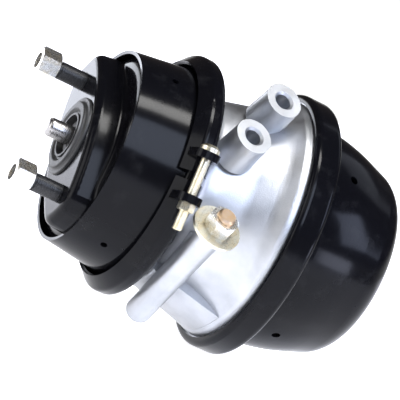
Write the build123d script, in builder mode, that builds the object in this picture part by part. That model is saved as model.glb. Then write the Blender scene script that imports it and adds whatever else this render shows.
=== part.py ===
from build123d import *
import math
import os

# Spring brake chamber for a disc brake caliper, in millimetres.
# X is the chamber axis. The origin is on the mounting face, where the axis meets it.
# +X runs to the spring end, the studs and the push rod point to -X, and +Z is up.
# Angles about the axis start at +Z and turn towards -Y, so 90 faces -Y and 180 is down.

# Mounting interface
STUD_SPACING = 120.65
STUD_DIAMETER = 16.0
STUD_PLAIN_REACH = 24.0
STUD_THREAD_DIAMETER = 14.7
STUD_SEAT_DIAMETER = 17.4
STUD_ANGLE = -42.0
STUD_REACH = 41.5
STUD_HEAD_FLATS = 24.0
STUD_HEAD_HEIGHT = 8.0
STUD_CHAMFER = 1.5
STUD_NUT_FLATS = 24.0
STUD_NUT_LENGTH = 18.0
STUD_NUT_RECESS = 3.5
STUD_NUT_CHAMFER = 2.2
STUD_PLATE_THICKNESS = 5.0
STUD_PLATE_INSET = 8.3
STUD_PLATE_OPENING_RADIUS = 29.0
HOLE_CLEARANCE = 0.1
THREAD_CLEARANCE = 0.05

# Service housing, the pressed cup that carries the mounting pad
SHEET = 3.0
PAD_HALF_WIDTH = 43.0
PAD_SIDE_RADIUS = 160.0
PAD_END_MARGIN = 23.7
PAD_DRAFT = 8.0
PAD_CORNER = 20.0
PAD_EDGE_FILLET = 8.0
PAD_ROOT_FILLET = 5.0
SHOULDER_INNER_X = 28.5
SHOULDER_INNER_RADIUS = 40.0
SHOULDER_OUTER_X = 17.6
SHOULDER_OUTER_RADIUS = 89.3
SHOULDER_BEND = 14.0
DRUM_REAR_RADIUS = 97.4
SERVICE_SPLIT_X = 80.0
SERVICE_FLANGE_BEND = 4.0
SERVICE_VENT_X = 48.0
SERVICE_VENT_RADIUS = 3.0
SERVICE_VENT_ANGLES = (27.0, 135.0, 261.0)

# Diaphragms
RUBBER = 3.2
SOFT_GAP = 0.3
DIAPHRAGM_BEND = 6.0
DIAPHRAGM_RIM_BEND = 0.3

# Service clamp, two halves joined by a bolt at each side
BAND_SHEET = 3.0
BAND_POINTS = [(65.5, 101.5), (75.5, 111.5), (86.5, 111.5), (91.5, 101.5)]
BAND_BEND = 2.5
BAND_GAP = 8.0
BAND_SEAT_GAP = 0.5
CLAMP_ANGLE = 79.0
LUG_MARGIN = 9.0
LUG_NEAR = 16.0
LUG_THICKNESS = 7.0
LUG_CORNER = 9.0
CLAMP_BOLT_X = 78.5
CLAMP_BOLT_RISE = 7.5
CLAMP_BOLT_DIAMETER = 8.0
CLAMP_BOLT_TAIL = 47.0
CLAMP_HEAD_RADIUS = 8.5
CLAMP_HEAD_HEIGHT = 4.5
CLAMP_NUT_FLATS = 13.0
CLAMP_NUT_HEIGHT = 7.0
CLAMP_WASHER_RADIUS = 8.5
CLAMP_WASHER_THICKNESS = 1.6

# Adapter casting between the two chambers
RIM_WEDGE_FRONT_X = 84.0
RIM_WEDGE_REAR_X = 87.4
RIM_WEDGE_RADIUS = 102.5
CUP_MOUTH_RADIUS = 93.5
CUP_FLOOR_RADIUS = 73.0
CUP_FLOOR_X = 103.0
WEB_REAR_X = 112.0
BELL_POINTS = [(89.0, 95.0), (98.0, 82.5), (112.0, 84.5), (138.0, 91.0), (160.0, 102.0)]
BELL_FILLETS = [3.0, 9.0, 20.0, 30.0, 30.0]
BELL_SKIRT_X = 170.0
BELL_SKIRT_RADIUS = 110.5
PARK_CAVITY = [(172.0, 103.0), (160.0, 94.5), (138.0, 84.0), (112.0, 76.0)]
PARK_CAVITY_FILLETS = [20.0, 30.0, 30.0, 6.0]
PARK_FLANGE_X = 178.0
PARK_SPLIT_X = 190.0
PARK_RIM_RADIUS = 117.3
PARK_RIM_FILLET = 3.0
PARK_MOUTH_RADIUS = 104.0
HUB_RADIUS = 23.0
HUB_END_X = 136.0
HUB_BORE_RADIUS = 17.0
HUB_LIP = 3.0
FOOT_START_ANGLE = 138.0
FOOT_SWEEP = 84.0
FOOT_FRONT_X = 99.0
FOOT_FRONT_RADIUS = 91.0
FOOT_REAR_X = 168.0
FOOT_REAR_RADIUS = 109.3

# Ports
PORT_ANGLE = 45.0
PORT_FACE = 118.0
PORT_BOSS_RADIUS = 16.6
PORT_DRAFT = 2.0
PORT_THREAD_RADIUS = 7.25
PORT_THREAD_DEPTH = 20.0
PORT_CHAMFER = 2.0
PORT_DRILLING_RADIUS = 3.5
PORT_ROOT = 84.0
SERVICE_PORT_X = 114.5
SERVICE_PORT_OFFSET = 15.0
SERVICE_DRILLING_END = (96.5, 74.0, 13.0)
PARK_PORT_X = 138.0
PARK_PORT_OFFSET = -37.0
PARK_DRILLING_END = 68.0

# Release bolt and the pocket that stows it
POCKET_ANGLE = 129.0
POCKET_X = 112.0
POCKET_DISTANCE = 98.0
POCKET_HALF_LENGTH = 66.5
POCKET_MOUTH_RADIUS = 12.2
POCKET_TIP_RADIUS = 11.6
POCKET_BORE_RADIUS = 9.4
POCKET_END_WALL = 5.0
POCKET_END_FILLET = 7.5
POCKET_WEB_THICKNESS = 12.0
POCKET_WEB_TOP_HALF = 50.0
POCKET_WEB_ROOT_HALF = 34.0
POCKET_WEB_ROOT = 79.0
RELEASE_DIAMETER = 15.9
RELEASE_SHANK_DIAMETER = 12.7
RELEASE_THREAD_LENGTH = 70.0
RELEASE_PROTRUSION = 4.5
RELEASE_HEAD_WIDTH = 16.0
RELEASE_HEAD_THICKNESS = 9.0
RELEASE_HEAD_HEIGHT = 10.0
RELEASE_END_GAP = 3.0
RELEASE_WASHER_RADIUS = 22.0
RELEASE_WASHER_THICKNESS = 3.0
RELEASE_NUT_FLATS = 24.0
RELEASE_NUT_HEIGHT = 13.5

# Spring clamp ring, rolled over both flanges
RING_SHEET = 3.0
RING_SEAT_GAP = 0.2
RING_FRONT_X = 174.8
RING_FRONT_LIP = 7.1
RING_REAR_X = 200.5
RING_REAR_LIP = 12.5
RING_LEAN = 0.3
RING_BEND = 2.5

# Spring housing
DOME_SHEET = 3.8
DOME_RIM_STEP = 2.3
DOME_FLANGE_WIDTH = 11.7
DOME_SHOULDER_X = 232.0
DOME_SHOULDER_DROP = 2.2
DOME_REAR_X = 284.8
DOME_REAR_DROP = 20.2
DOME_END_DROP = 35.5
DOME_BENDS = [5.0, 170.0, 27.0, 4.0]
DOME_END_X = 291.6
DOME_CROWN = 1.0
DOME_VENT_X = 224.5
DOME_VENT_RADIUS = 3.8
DOME_VENT_ANGLES = (42.0, 138.0, 222.0, 318.0)
CAGING_HOLE_RADIUS = 13.0
PLUG_FLANGE_RADIUS = 17.0
PLUG_FLANGE_THICKNESS = 3.0
PLUG_NECK_RADIUS = 12.6
PLUG_DEPTH = 8.0

# Service stroke train
ROD_DIAMETER = 17.0
ROD_NECK_DIAMETER = 16.0
ROD_TIP_X = -24.0
ROD_HEAD_LENGTH = 23.5
ROD_TIP_FILLET = 4.5
PUSH_PLATE_THICKNESS = 4.0
PUSH_PLATE_RADIUS = 70.0
PUSH_PLATE_RIM_DEPTH = 6.0
PUSH_PLATE_RIM_WIDTH = 3.0
PUSH_PLATE_HUB_RADIUS = 15.0
PUSH_PLATE_HUB_LENGTH = 10.0

# Rod boot
COLLAR_RADIUS = 36.0
COLLAR_THICKNESS = 2.2
COLLAR_LIP_RADIUS = 31.0
COLLAR_LIP_X = -5.0
COLLAR_MOUTH_RADIUS = 25.0
COLLAR_ROOT_RADIUS = 22.5
BOOT_WALL = 2.0
BOOT_POINTS = [(-4.5, 25.0), (-4.5, 20.5), (12.0, 20.5), (12.0, 14.5), (2.0, 14.5), (2.0, 10.3), (16.0, 10.3)]
BOOT_BEND = 0.9
BOOT_BEAD_RADIUS = 31.0
BOOT_BEAD_THICKNESS = 2.0

# Parking train
ACTUATOR_ROD_RADIUS = 12.5
RUNNING_CLEARANCE = 0.06
ROD_HOLE_CLEARANCE = 0.6
ACTUATOR_PLATE_X = 207.5
ACTUATOR_PLATE_THICKNESS = 4.7
ACTUATOR_PLATE_RADIUS = 55.0
PRESSURE_PLATE_RADIUS = 78.0
PRESSURE_PLATE_THICKNESS = 6.0
PRESSURE_RIM_RADIUS = 52.0
PRESSURE_RIM_HEIGHT = 5.0
PRESSURE_RIM_WIDTH = 4.0
PRESSURE_BOSS_RADIUS = 24.0
PRESSURE_BOSS_HEIGHT = 22.0
KEYHOLE_LENGTH = 19.0
KEYHOLE_WIDTH = 10.5

# Hub fittings
HUB_WASHER_THICKNESS = 2.0
HUB_WASHER_CLEARANCE = 0.3
SEAL_SECTION = 4.2
SEAL_ROOM = 4.4
BUSH_LENGTH = 11.5
BUSH_FIT = 0.02
RETAINER_THICKNESS = 1.6
RETAINER_BITE = 1.2
RETAINER_WIDTH = 3.0

# Springs
SERVICE_WIRE = 5.0
SERVICE_COILS = 5.0
SERVICE_FRONT_COIL = 34.0
SERVICE_REAR_COIL = 52.0
RETURN_WIRE = 4.0
RETURN_COILS = 5.0
RETURN_COIL = 29.0
POWER_WIRE = 12.0
POWER_COILS = 4.5
POWER_COIL = 60.0
SPRING_END_GAP = 0.1

# Places that follow from the sizes above
FACE_OPENING_RADIUS = COLLAR_RADIUS + HOLE_CLEARANCE
PAD_END_RADIUS = STUD_SPACING / 2 + PAD_END_MARGIN
CLAMP_BOLT_RADIUS = BAND_POINTS[1][1] + CLAMP_BOLT_RISE
LUG_TOP_RADIUS = CLAMP_BOLT_RADIUS + LUG_MARGIN
RING_CROWN = PARK_RIM_RADIUS + RING_SEAT_GAP + RING_SHEET
DOME_RIM_RADIUS = PARK_RIM_RADIUS - DOME_RIM_STEP
DOME_WALL_RADIUS = DOME_RIM_RADIUS - DOME_FLANGE_WIDTH
FLANGE_OUTER = BAND_POINTS[1][1] - BAND_SHEET - BAND_SEAT_GAP
ADAPTER_FACE_X = SERVICE_SPLIT_X + RUBBER
DIAPHRAGM_FRONT_X = CUP_FLOOR_X - SOFT_GAP - RUBBER
PUSH_PLATE_REAR_X = DIAPHRAGM_FRONT_X - SOFT_GAP
PUSH_PLATE_FRONT_X = PUSH_PLATE_REAR_X - PUSH_PLATE_THICKNESS
STUD_SEAT_X = SHEET + STUD_PLATE_THICKNESS
DOME_FLANGE_X = PARK_SPLIT_X + RUBBER + DOME_SHEET
PARK_DIAPHRAGM_X = ACTUATOR_PLATE_X + ACTUATOR_PLATE_THICKNESS + SOFT_GAP
PRESSURE_PLATE_X = PARK_DIAPHRAGM_X + RUBBER + SOFT_GAP
POWER_SEAT_X = PRESSURE_PLATE_X + PRESSURE_PLATE_THICKNESS
SEAL_START_X = CUP_FLOOR_X + HUB_LIP
BUSH_START_X = SEAL_START_X + SEAL_ROOM + HUB_WASHER_THICKNESS
BUSH_END_X = BUSH_START_X + BUSH_LENGTH
RETAINER_X = BUSH_END_X + 2 * HUB_WASHER_THICKNESS + SEAL_ROOM


def around(angle, distance=1.0):
    """The point at a distance from the axis, in the direction of an angle about it."""
    turn = math.radians(angle)
    return (0.0, -distance * math.sin(turn), distance * math.cos(turn))


def station(x, angle, distance=0.0, sideways=0.0):
    """A point by its place along the axis, angle, distance and tangential offset."""
    outward = around(angle, distance)
    tangent = around(angle + 90.0, sideways)
    return (x, outward[1] + tangent[1], outward[2] + tangent[2])


def radial_plane(angle):
    """A plane through the axis: local x runs along the axis, local y out at the angle."""
    return Plane(origin=(0, 0, 0), x_dir=(1, 0, 0), z_dir=around(angle + 90.0))


def drill_plane(x, angle, distance, sideways=0.0):
    """A plane across a radial direction, its normal pointing away from the axis."""
    return Plane(origin=station(x, angle, distance, sideways), x_dir=(1, 0, 0), z_dir=around(angle))


def parallel(points, distance):
    """The same run of points, moved sideways by a distance, positive to the left."""
    normals = []
    for start, end in zip(points, points[1:]):
        length = math.dist(start, end)
        normals.append(((start[1] - end[1]) / length, (end[0] - start[0]) / length))
    moved = []
    for point, before, after in zip(points, normals[:1] + normals, normals + normals[-1:]):
        share = distance / (1 + before[0] * after[0] + before[1] * after[1])
        moved.append((point[0] + share * (before[0] + after[0]), point[1] + share * (before[1] + after[1])))
    return moved


def sheet_outline(points, thickness, bends):
    """The outline of a bent sheet, one side on the points and the other parallel to them.

    A positive thickness lies to the left of the run, and each bend is its inner radius.
    """
    near_radii = []
    far_radii = []
    for before, point, after, bend in zip(points, points[1:], points[2:], bends):
        turn = (point[0] - before[0]) * (after[1] - point[1]) - (point[1] - before[1]) * (after[0] - point[0])
        outside = bend + abs(thickness)
        near_radii.append(outside if turn * thickness > 0 else bend)
        far_radii.append(bend if turn * thickness > 0 else outside)
    far_points = parallel(points, thickness)
    radii = [0] + near_radii + [0, 0] + far_radii[::-1] + [0]
    return FilletPolyline(*points, *far_points[::-1], radius=radii, close=True)


def spring_coil(start_x, end_x, start_radius, end_radius, wire, coils):
    """A compression spring about the chamber axis, its wire inside both end faces."""
    run = end_x - start_x - wire - 2 * SPRING_END_GAP
    slope = math.degrees(math.atan2(end_radius - start_radius, run))
    first = start_x + wire / 2 + SPRING_END_GAP
    with BuildPart() as coil:
        with BuildLine() as centre_line:
            Helix(run / coils, run, start_radius, (first, 0, 0), (1, 0, 0), slope)
        with BuildSketch(Plane(origin=centre_line.line @ 0, z_dir=centre_line.line % 0)):
            Circle(wire / 2)
        sweep(is_frenet=True)
    return coil.part


def hex_nut(flats, height, bore_radius, chamfer_depth):
    """A hexagon nut standing on the origin, with the corners turned off at both ends."""
    corner_radius = flats / math.sqrt(3)
    with BuildPart() as nut:
        with BuildSketch():
            RegularPolygon(flats / 2, 6, major_radius=False)
        extrude(amount=height)
        with BuildSketch(Plane.XZ):
            with BuildLine():
                Polyline(
                    (0, 0),
                    (corner_radius - chamfer_depth, 0),
                    (corner_radius, chamfer_depth * 0.6),
                    (corner_radius, height - chamfer_depth * 0.6),
                    (corner_radius - chamfer_depth, height),
                    (0, height),
                    close=True,
                )
            make_face()
        revolve(axis=Axis.Z, mode=Mode.INTERSECT)
        with BuildSketch():
            Circle(bore_radius)
        extrude(amount=height, mode=Mode.SUBTRACT)
    return nut.part


def turned_pin(points):
    """A solid of turning about local z, from its radius and height at each corner."""
    with BuildPart() as pin:
        with BuildSketch(Plane.XZ):
            with BuildLine():
                Polyline(*points, close=True)
            make_face()
        revolve(axis=Axis.Z)
    return pin.part


def pad_outline(inset):
    """The oval of the mounting pad as a face, moved in by the inset."""
    end_radius = PAD_END_RADIUS - inset
    side_radius = PAD_SIDE_RADIUS - inset
    side_centre = PAD_HALF_WIDTH - PAD_SIDE_RADIUS
    corner_y = (end_radius**2 - side_radius**2 + side_centre**2) / (2 * side_centre)
    corner_x = math.sqrt(end_radius**2 - corner_y**2)
    with BuildSketch() as outline:
        with BuildLine():
            ThreePointArc((-corner_x, corner_y), (0, side_centre + side_radius), (corner_x, corner_y))
            ThreePointArc((corner_x, corner_y), (end_radius, 0), (corner_x, -corner_y))
            ThreePointArc((corner_x, -corner_y), (0, -side_centre - side_radius), (-corner_x, -corner_y))
            ThreePointArc((-corner_x, -corner_y), (-end_radius, 0), (-corner_x, corner_y))
        make_face()
        fillet(outline.vertices(), PAD_CORNER - inset)
    return outline.sketch


def across(x):
    """A plane across the axis at x, facing +X, its local x along the line of studs."""
    return Plane(origin=(x, 0, 0), x_dir=around(STUD_ANGLE), z_dir=(1, 0, 0))


DRUM_POINTS = [
    (SHOULDER_INNER_X, SHOULDER_INNER_RADIUS),
    (SHOULDER_OUTER_X, SHOULDER_OUTER_RADIUS),
    (SERVICE_SPLIT_X - SHEET, DRUM_REAR_RADIUS),
    (SERVICE_SPLIT_X - SHEET, FLANGE_OUTER),
]


def housing_form(inset):
    """The pressed cup up to its rear flange as a filled form, moved in by the inset."""
    front, shoulder, rear, rim = parallel(DRUM_POINTS, -inset)
    root_x = SHOULDER_INNER_X + 12.0
    draft = math.radians(PAD_DRAFT)
    with BuildPart() as form:
        with BuildSketch(across(inset)):
            add(pad_outline(inset * (1 / math.cos(draft) - math.tan(draft))))
        extrude(amount=root_x - inset, taper=-PAD_DRAFT)
        fillet(form.faces().sort_by(Axis.X)[0].edges(), PAD_EDGE_FILLET - inset)
        with BuildSketch(Plane.XZ):
            with BuildLine():
                FilletPolyline(
                    (front[0], 0),
                    front,
                    shoulder,
                    rear,
                    (rear[0], 0),
                    radius=[0, 0, SHOULDER_BEND + SHEET - inset, 0, 0],
                    close=True,
                )
            make_face()
        revolve(axis=Axis.X)
        root_edges = form.edges().filter_by(GeomType.BSPLINE)
        root_start = inset + PAD_EDGE_FILLET + PAD_ROOT_FILLET
        fillet([edge for edge in root_edges if edge.center().X > root_start], PAD_ROOT_FILLET + inset)
    return form.part


def stud_axis(x, side):
    """A plane at one stud, its normal pointing towards the caliper."""
    return Plane(origin=station(x, STUD_ANGLE, side * STUD_SPACING / 2), z_dir=(-1, 0, 0))


def clamp_half(start_angle):
    """One half of the service clamp, from its start angle round to the opposite joint."""
    half_gap = math.degrees(BAND_GAP / 2 / BAND_POINTS[1][1])
    root = parallel(BAND_POINTS, -0.85 * BAND_SHEET)
    with BuildPart() as half:
        with BuildSketch(radial_plane(start_angle + half_gap)):
            with BuildLine():
                sheet_outline(BAND_POINTS, -BAND_SHEET, [BAND_BEND, BAND_BEND])
            make_face()
        revolve(axis=Axis.X, revolution_arc=180 - 2 * half_gap)
        for angle, offset in ((start_angle, LUG_NEAR), (start_angle + 180, -LUG_NEAR - LUG_THICKNESS)):
            lug_plane = Plane(origin=station(0, angle, 0, offset), x_dir=(1, 0, 0), z_dir=around(angle + 90))
            with BuildSketch(lug_plane):
                with BuildLine():
                    FilletPolyline(
                        *root,
                        (root[-1][0], LUG_TOP_RADIUS),
                        (root[0][0], LUG_TOP_RADIUS),
                        radius=[0, 0, 0, 0, LUG_CORNER, LUG_CORNER],
                        close=True,
                    )
                make_face()
                with Locations((CLAMP_BOLT_X, CLAMP_BOLT_RADIUS)):
                    Circle(CLAMP_BOLT_DIAMETER / 2 + HOLE_CLEARANCE, mode=Mode.SUBTRACT)
            extrude(amount=LUG_THICKNESS)
    return half.part


def clamp_joint(side, along):
    """A plane on one clamp bolt's axis, its normal towards the bolt's head."""
    angle = CLAMP_ANGLE + side * 180
    return Plane(origin=station(CLAMP_BOLT_X, angle, CLAMP_BOLT_RADIUS, -along), z_dir=around(angle - 90))


def port_plane(x, offset, height):
    """A plane across a port's axis at a height from the chamber axis, facing out."""
    return drill_plane(x, PORT_ANGLE, height, offset)


def pocket_plane(along=0.0):
    """A plane across the pocket's axis, facing its mouth, at a distance along it."""
    return Plane(
        origin=station(POCKET_X, POCKET_ANGLE, POCKET_DISTANCE, -along),
        x_dir=(1, 0, 0),
        z_dir=around(POCKET_ANGLE - 90),
    )


os.makedirs("parts", exist_ok=True)

# Service housing
with BuildPart() as service_housing:
    add(housing_form(0))
    with BuildSketch(Plane.XZ):
        with BuildLine():
            sheet_outline(DRUM_POINTS[1:], -SHEET, [SERVICE_FLANGE_BEND])
        make_face()
    revolve(axis=Axis.X)
    add(housing_form(SHEET), mode=Mode.SUBTRACT)
    with BuildSketch(Plane.YZ.offset(SERVICE_SPLIT_X - SHEET - 1)):
        Circle(DRUM_REAR_RADIUS - SHEET)
    extrude(amount=SHEET + 2, mode=Mode.SUBTRACT)
    with BuildSketch(Plane.YZ.offset(-1)):
        Circle(FACE_OPENING_RADIUS)
    extrude(amount=SHEET + 2, mode=Mode.SUBTRACT)
    with BuildSketch(across(-1)):
        with Locations((STUD_SPACING / 2, 0), (-STUD_SPACING / 2, 0)):
            Circle(STUD_SEAT_DIAMETER / 2 + HOLE_CLEARANCE)
    extrude(amount=SHEET + 2, mode=Mode.SUBTRACT)
    for vent_angle in SERVICE_VENT_ANGLES:
        with BuildSketch(drill_plane(SERVICE_VENT_X, vent_angle, DRUM_REAR_RADIUS - 14)):
            Circle(SERVICE_VENT_RADIUS)
        extrude(amount=20, mode=Mode.SUBTRACT)

# Plate inside the mounting face, and the two studs pressed through it
with BuildPart() as stud_plate:
    with BuildSketch(across(SHEET)):
        add(pad_outline(STUD_PLATE_INSET))
        Circle(STUD_PLATE_OPENING_RADIUS, mode=Mode.SUBTRACT)
        with Locations((STUD_SPACING / 2, 0), (-STUD_SPACING / 2, 0)):
            Circle(STUD_SEAT_DIAMETER / 2 + HOLE_CLEARANCE, mode=Mode.SUBTRACT)
    extrude(amount=STUD_PLATE_THICKNESS)

stud_radius = STUD_DIAMETER / 2
thread_radius = STUD_THREAD_DIAMETER / 2
seat_radius = STUD_SEAT_DIAMETER / 2
plain_length = STUD_SEAT_X + STUD_PLAIN_REACH
stud_length = STUD_SEAT_X + STUD_REACH
stud_shank = turned_pin(
    [
        (0, 0),
        (seat_radius, 0),
        (seat_radius, STUD_SEAT_X),
        (stud_radius, STUD_SEAT_X),
        (stud_radius, plain_length),
        (thread_radius, plain_length),
        (thread_radius, stud_length - STUD_CHAMFER),
        (thread_radius - STUD_CHAMFER, stud_length),
        (0, stud_length),
    ]
)
stud_head = hex_nut(STUD_HEAD_FLATS, STUD_HEAD_HEIGHT, stud_radius - 1, STUD_CHAMFER)
with BuildPart() as mounting_studs:
    with Locations(stud_axis(STUD_SEAT_X, 1), stud_axis(STUD_SEAT_X, -1)):
        add(stud_shank)
    with Locations(
        stud_axis(STUD_SEAT_X + STUD_HEAD_HEIGHT, 1), stud_axis(STUD_SEAT_X + STUD_HEAD_HEIGHT, -1)
    ):
        add(stud_head)
        Cylinder(stud_radius, STUD_HEAD_HEIGHT, align=(Align.CENTER, Align.CENTER, Align.MIN))

stud_nut = hex_nut(STUD_NUT_FLATS, STUD_NUT_LENGTH, thread_radius + THREAD_CLEARANCE, STUD_NUT_CHAMFER)
stud_nut_x = -STUD_REACH - STUD_NUT_RECESS + STUD_NUT_LENGTH
with BuildPart() as stud_nuts:
    with Locations(stud_axis(stud_nut_x, 1), stud_axis(stud_nut_x, -1)):
        add(stud_nut)

# Push rod with its plate, and the boot round the rod
rod_radius = ROD_DIAMETER / 2
neck_radius = ROD_NECK_DIAMETER / 2
with BuildPart() as push_rod:
    with BuildSketch(Plane.XZ):
        with BuildLine():
            FilletPolyline(
                (ROD_TIP_X, 0),
                (ROD_TIP_X, rod_radius),
                (ROD_TIP_X + ROD_HEAD_LENGTH, rod_radius),
                (ROD_TIP_X + ROD_HEAD_LENGTH, neck_radius),
                (PUSH_PLATE_FRONT_X, neck_radius),
                (PUSH_PLATE_FRONT_X, 0),
                radius=[0, ROD_TIP_FILLET, 0, 0, 0, 0],
                close=True,
            )
        make_face()
    revolve(axis=Axis.X)

with BuildPart() as push_plate:
    with BuildSketch(Plane.XZ):
        with BuildLine():
            FilletPolyline(
                (PUSH_PLATE_REAR_X, 0),
                (PUSH_PLATE_REAR_X, PUSH_PLATE_RADIUS),
                (PUSH_PLATE_FRONT_X - PUSH_PLATE_RIM_DEPTH, PUSH_PLATE_RADIUS),
                (PUSH_PLATE_FRONT_X - PUSH_PLATE_RIM_DEPTH, PUSH_PLATE_RADIUS - PUSH_PLATE_RIM_WIDTH),
                (PUSH_PLATE_FRONT_X, PUSH_PLATE_RADIUS - PUSH_PLATE_RIM_WIDTH),
                (PUSH_PLATE_FRONT_X, PUSH_PLATE_HUB_RADIUS),
                (PUSH_PLATE_FRONT_X - PUSH_PLATE_HUB_LENGTH, neck_radius + 3),
                (PUSH_PLATE_FRONT_X - PUSH_PLATE_HUB_LENGTH, neck_radius),
                (PUSH_PLATE_FRONT_X, neck_radius),
                (PUSH_PLATE_FRONT_X, 0),
                radius=[0, 3, 1, 0.5, 2, 3, 0, 0, 0, 0],
                close=True,
            )
        make_face()
    revolve(axis=Axis.X)

with BuildPart() as rod_boot:
    with BuildSketch(Plane.XZ):
        with BuildLine():
            FilletPolyline(
                (SHEET, COLLAR_ROOT_RADIUS),
                (SHEET, COLLAR_RADIUS),
                (-COLLAR_THICKNESS, COLLAR_RADIUS),
                (-COLLAR_THICKNESS, COLLAR_LIP_RADIUS),
                (COLLAR_LIP_X, COLLAR_LIP_RADIUS),
                (COLLAR_LIP_X, COLLAR_MOUTH_RADIUS),
                (-COLLAR_THICKNESS, COLLAR_ROOT_RADIUS),
                radius=[0, 0, 1, 2, 1.5, 1.5, 0],
                close=True,
            )
        make_face()
        with BuildLine():
            Polyline(
                (-COLLAR_THICKNESS, BOOT_POINTS[1][1]),
                (-COLLAR_THICKNESS, STUD_PLATE_OPENING_RADIUS - HOLE_CLEARANCE),
                (STUD_SEAT_X, STUD_PLATE_OPENING_RADIUS - HOLE_CLEARANCE),
                (STUD_SEAT_X, BOOT_BEAD_RADIUS),
                (STUD_SEAT_X + BOOT_BEAD_THICKNESS, BOOT_BEAD_RADIUS),
                (STUD_SEAT_X + BOOT_BEAD_THICKNESS, BOOT_POINTS[1][1]),
                close=True,
            )
        make_face()
        with BuildLine():
            sheet_outline(BOOT_POINTS[1:], -BOOT_WALL, [BOOT_BEND] * 4)
        make_face()
    revolve(axis=Axis.X)

# Service diaphragm between the flanges of the service chamber
CUP_POINTS = [
    (CUP_FLOOR_X, 0),
    (CUP_FLOOR_X, CUP_FLOOR_RADIUS),
    (ADAPTER_FACE_X, CUP_MOUTH_RADIUS),
    (ADAPTER_FACE_X, FLANGE_OUTER),
]
floor_point, wall_point, mouth_point, rim_point = parallel(CUP_POINTS[:3] + [CUP_POINTS[3]], SOFT_GAP)
with BuildPart() as service_diaphragm:
    with BuildSketch(Plane.XZ):
        with BuildLine():
            sheet_outline(
                [floor_point, wall_point, (ADAPTER_FACE_X, mouth_point[1] - 0.4), (ADAPTER_FACE_X, FLANGE_OUTER)],
                RUBBER,
                [DIAPHRAGM_BEND, DIAPHRAGM_RIM_BEND],
            )
        make_face()
    revolve(axis=Axis.X)

# Service clamp, its two halves and the hardware of its two joints
with BuildPart() as service_clamp_upper:
    add(clamp_half(CLAMP_ANGLE - 180))

with BuildPart() as service_clamp_lower:
    add(clamp_half(CLAMP_ANGLE))

lug_face = LUG_NEAR + LUG_THICKNESS
bolt_radius = CLAMP_BOLT_DIAMETER / 2
bolt_top = lug_face + CLAMP_WASHER_THICKNESS + CLAMP_BOLT_TAIL
head_top = bolt_top + CLAMP_HEAD_HEIGHT
clamp_bolt = turned_pin(
    [
        (0, 0),
        (bolt_radius - 1, 0),
        (bolt_radius, 1),
        (bolt_radius, bolt_top),
        (CLAMP_HEAD_RADIUS, bolt_top),
        (CLAMP_HEAD_RADIUS, bolt_top + 2),
        (CLAMP_HEAD_RADIUS - 3, head_top),
        (0, head_top),
    ]
)
with BuildPart() as clamp_bolts:
    with Locations(clamp_joint(0, -CLAMP_BOLT_TAIL), clamp_joint(1, -CLAMP_BOLT_TAIL)):
        add(clamp_bolt)

clamp_washer = turned_pin(
    [
        (bolt_radius + HOLE_CLEARANCE, 0),
        (CLAMP_WASHER_RADIUS, 0),
        (CLAMP_WASHER_RADIUS, CLAMP_WASHER_THICKNESS),
        (bolt_radius + HOLE_CLEARANCE, CLAMP_WASHER_THICKNESS),
    ]
)
with BuildPart() as clamp_washers:
    with Locations(clamp_joint(0, lug_face), clamp_joint(1, lug_face)):
        add(clamp_washer)

clamp_nut = hex_nut(CLAMP_NUT_FLATS, CLAMP_NUT_HEIGHT, bolt_radius + THREAD_CLEARANCE, 1)
nut_along = -lug_face - CLAMP_NUT_HEIGHT
with BuildPart() as clamp_nuts:
    with Locations(clamp_joint(0, nut_along), clamp_joint(1, nut_along)):
        add(clamp_nut)

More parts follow.
